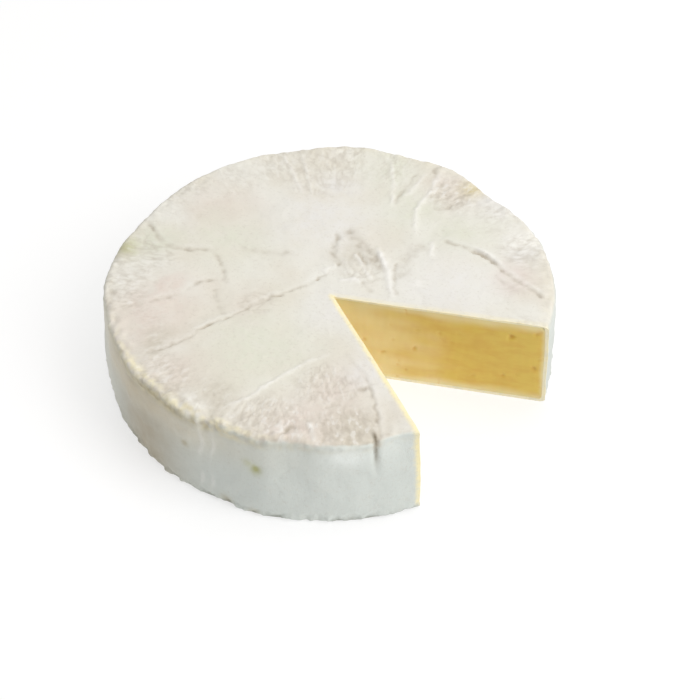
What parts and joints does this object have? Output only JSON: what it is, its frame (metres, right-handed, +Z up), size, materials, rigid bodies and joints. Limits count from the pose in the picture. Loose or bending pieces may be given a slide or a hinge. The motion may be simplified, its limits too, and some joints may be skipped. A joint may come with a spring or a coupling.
{
  "type": "brie cheese wheel",
  "caption": "Round flat wheel of soft white-rinded cheese, standing on its flat base, with one wedge-shaped slice cut out down to its middle.",
  "frame": {"origin": "centre of the wheel's overall plan, on the surface that its base rests on", "axes": "+Z up, the wheel's thickness; the cut opens outwards between +X and -Y; the picture looks along +Y from above with +X to its right"},
  "size_m": [0.1829, 0.1822, 0.0422],
  "materials": {
    "rind": "dry, velvety white mould rind, matt, with pleats pressed in by its wrapping paper",
    "paste": "moist, smooth, pale yellow cut cheese, slightly translucent"
  },
  "bodies": {
    "root": {"brie_wheel": "rind"}
  },
  "joints": []
}
